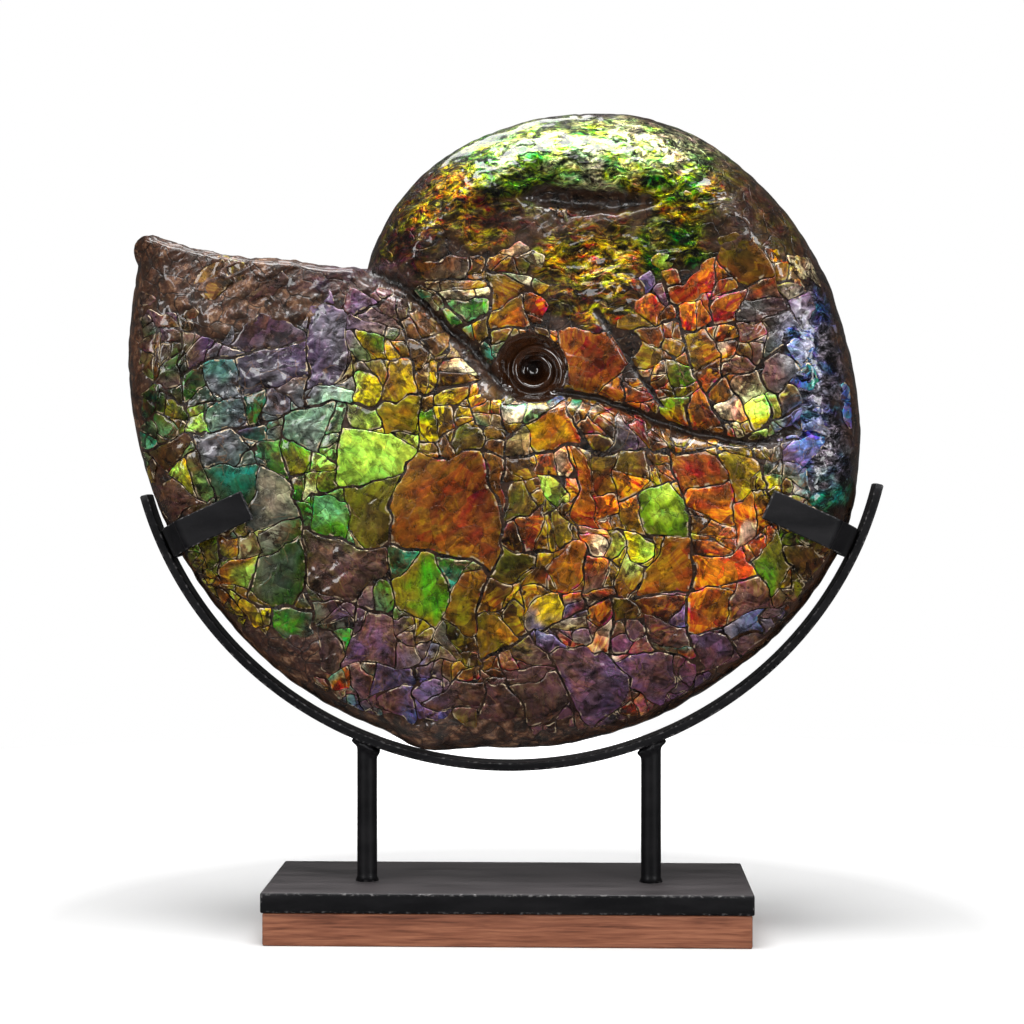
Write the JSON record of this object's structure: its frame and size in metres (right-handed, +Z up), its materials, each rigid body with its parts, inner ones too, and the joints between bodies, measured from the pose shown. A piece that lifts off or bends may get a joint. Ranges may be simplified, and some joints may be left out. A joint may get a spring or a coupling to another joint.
{
  "type": "ammolite ammonite fossil on stand",
  "caption": "Large iridescent coiled ammonite fossil held upright in a black steel cradle with claws, on a steel plate and wooden plinth.",
  "frame": {"origin": "centre of the wooden plinth's underside", "axes": "+Z up, +X to the right of someone facing the decorated flank, the decorated flank faces -Y"},
  "size_m": [0.4783, 0.1229, 0.5204],
  "materials": {
    "ammolite": "polished brown fossil shell with red, green, gold and violet iridescent plates and dark cracks",
    "black_steel": "satin black, slightly mottled, worn on the edges",
    "wood": "reddish brown straight-grained hardwood, oiled"
  },
  "bodies": {
    "root": {"ammonite": "ammolite", "cradle_arc": "black_steel", "claw_left": "black_steel", "claw_right": "black_steel", "post_left": "black_steel", "post_right": "black_steel", "base_plate": "black_steel", "wood_plinth": "wood"}
  },
  "joints": []
}
